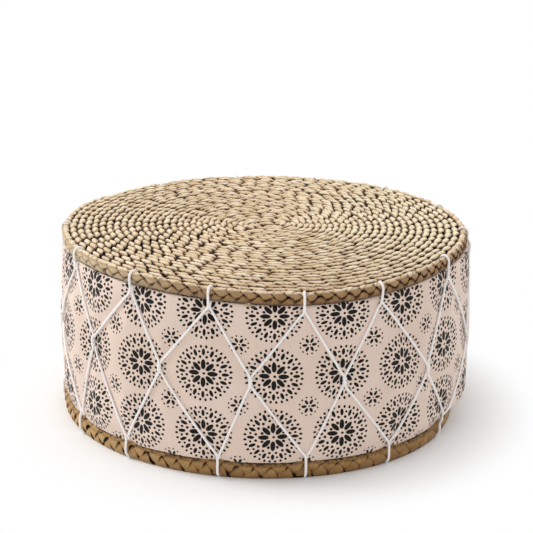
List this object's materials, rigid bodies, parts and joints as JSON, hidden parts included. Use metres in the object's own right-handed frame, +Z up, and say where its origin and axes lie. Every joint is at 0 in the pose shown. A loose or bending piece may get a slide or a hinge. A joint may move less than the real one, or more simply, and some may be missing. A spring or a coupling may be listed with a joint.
{
  "type": "mudda stool",
  "caption": "Low drum-shaped pouf stool with a coiled plant-fibre braid seat and base rim, a padded printed cotton side and a cotton cord lacing.",
  "frame": {"origin": "middle of the base on the floor", "axes": "+Z up through the middle of the seat, front towards -Y, +X to the right seen from the front"},
  "size_m": [0.4476, 0.4538, 0.2062],
  "materials": {
    "seat_braid": "natural straw-coloured fibre braid",
    "base_braid": "darker brown fibre braid",
    "printed_cotton": "plain-weave cotton with a dark block print",
    "wadding": "soft polyester wadding",
    "cotton_cord": "undyed braided cotton",
    "plywood": "sanded plywood",
    "cane": "peeled cane"
  },
  "bodies": {
    "root": {"seat_coil": "seat_braid", "base_coil": "base_braid", "side_cover": "printed_cotton", "side_pad": "wadding", "seat_board": "plywood", "base_board": "plywood", "lacing_cord_a": "cotton_cord", "lacing_cord_b": "cotton_cord", "lacing_knot_a": "cotton_cord", "lacing_knot_b": "cotton_cord", "outer_reed_01": "cane", "outer_reed_02": "cane", "outer_reed_03": "cane", "outer_reed_04": "cane", "outer_reed_05": "cane", "outer_reed_06": "cane", "outer_reed_07": "cane", "outer_reed_08": "cane", "outer_reed_09": "cane", "outer_reed_10": "cane", "outer_reed_11": "cane", "outer_reed_12": "cane", "outer_reed_13": "cane", "outer_reed_14": "cane", "inner_reed_01": "cane", "inner_reed_02": "cane", "inner_reed_03": "cane", "inner_reed_04": "cane", "inner_reed_05": "cane", "inner_reed_06": "cane", "inner_reed_07": "cane", "inner_reed_08": "cane", "inner_reed_09": "cane", "inner_reed_10": "cane", "inner_reed_11": "cane", "inner_reed_12": "cane", "inner_reed_13": "cane", "inner_reed_14": "cane", "top_outer_hoop": "cane", "top_inner_hoop": "cane", "bottom_outer_hoop": "cane", "bottom_inner_hoop": "cane"}
  },
  "joints": []
}
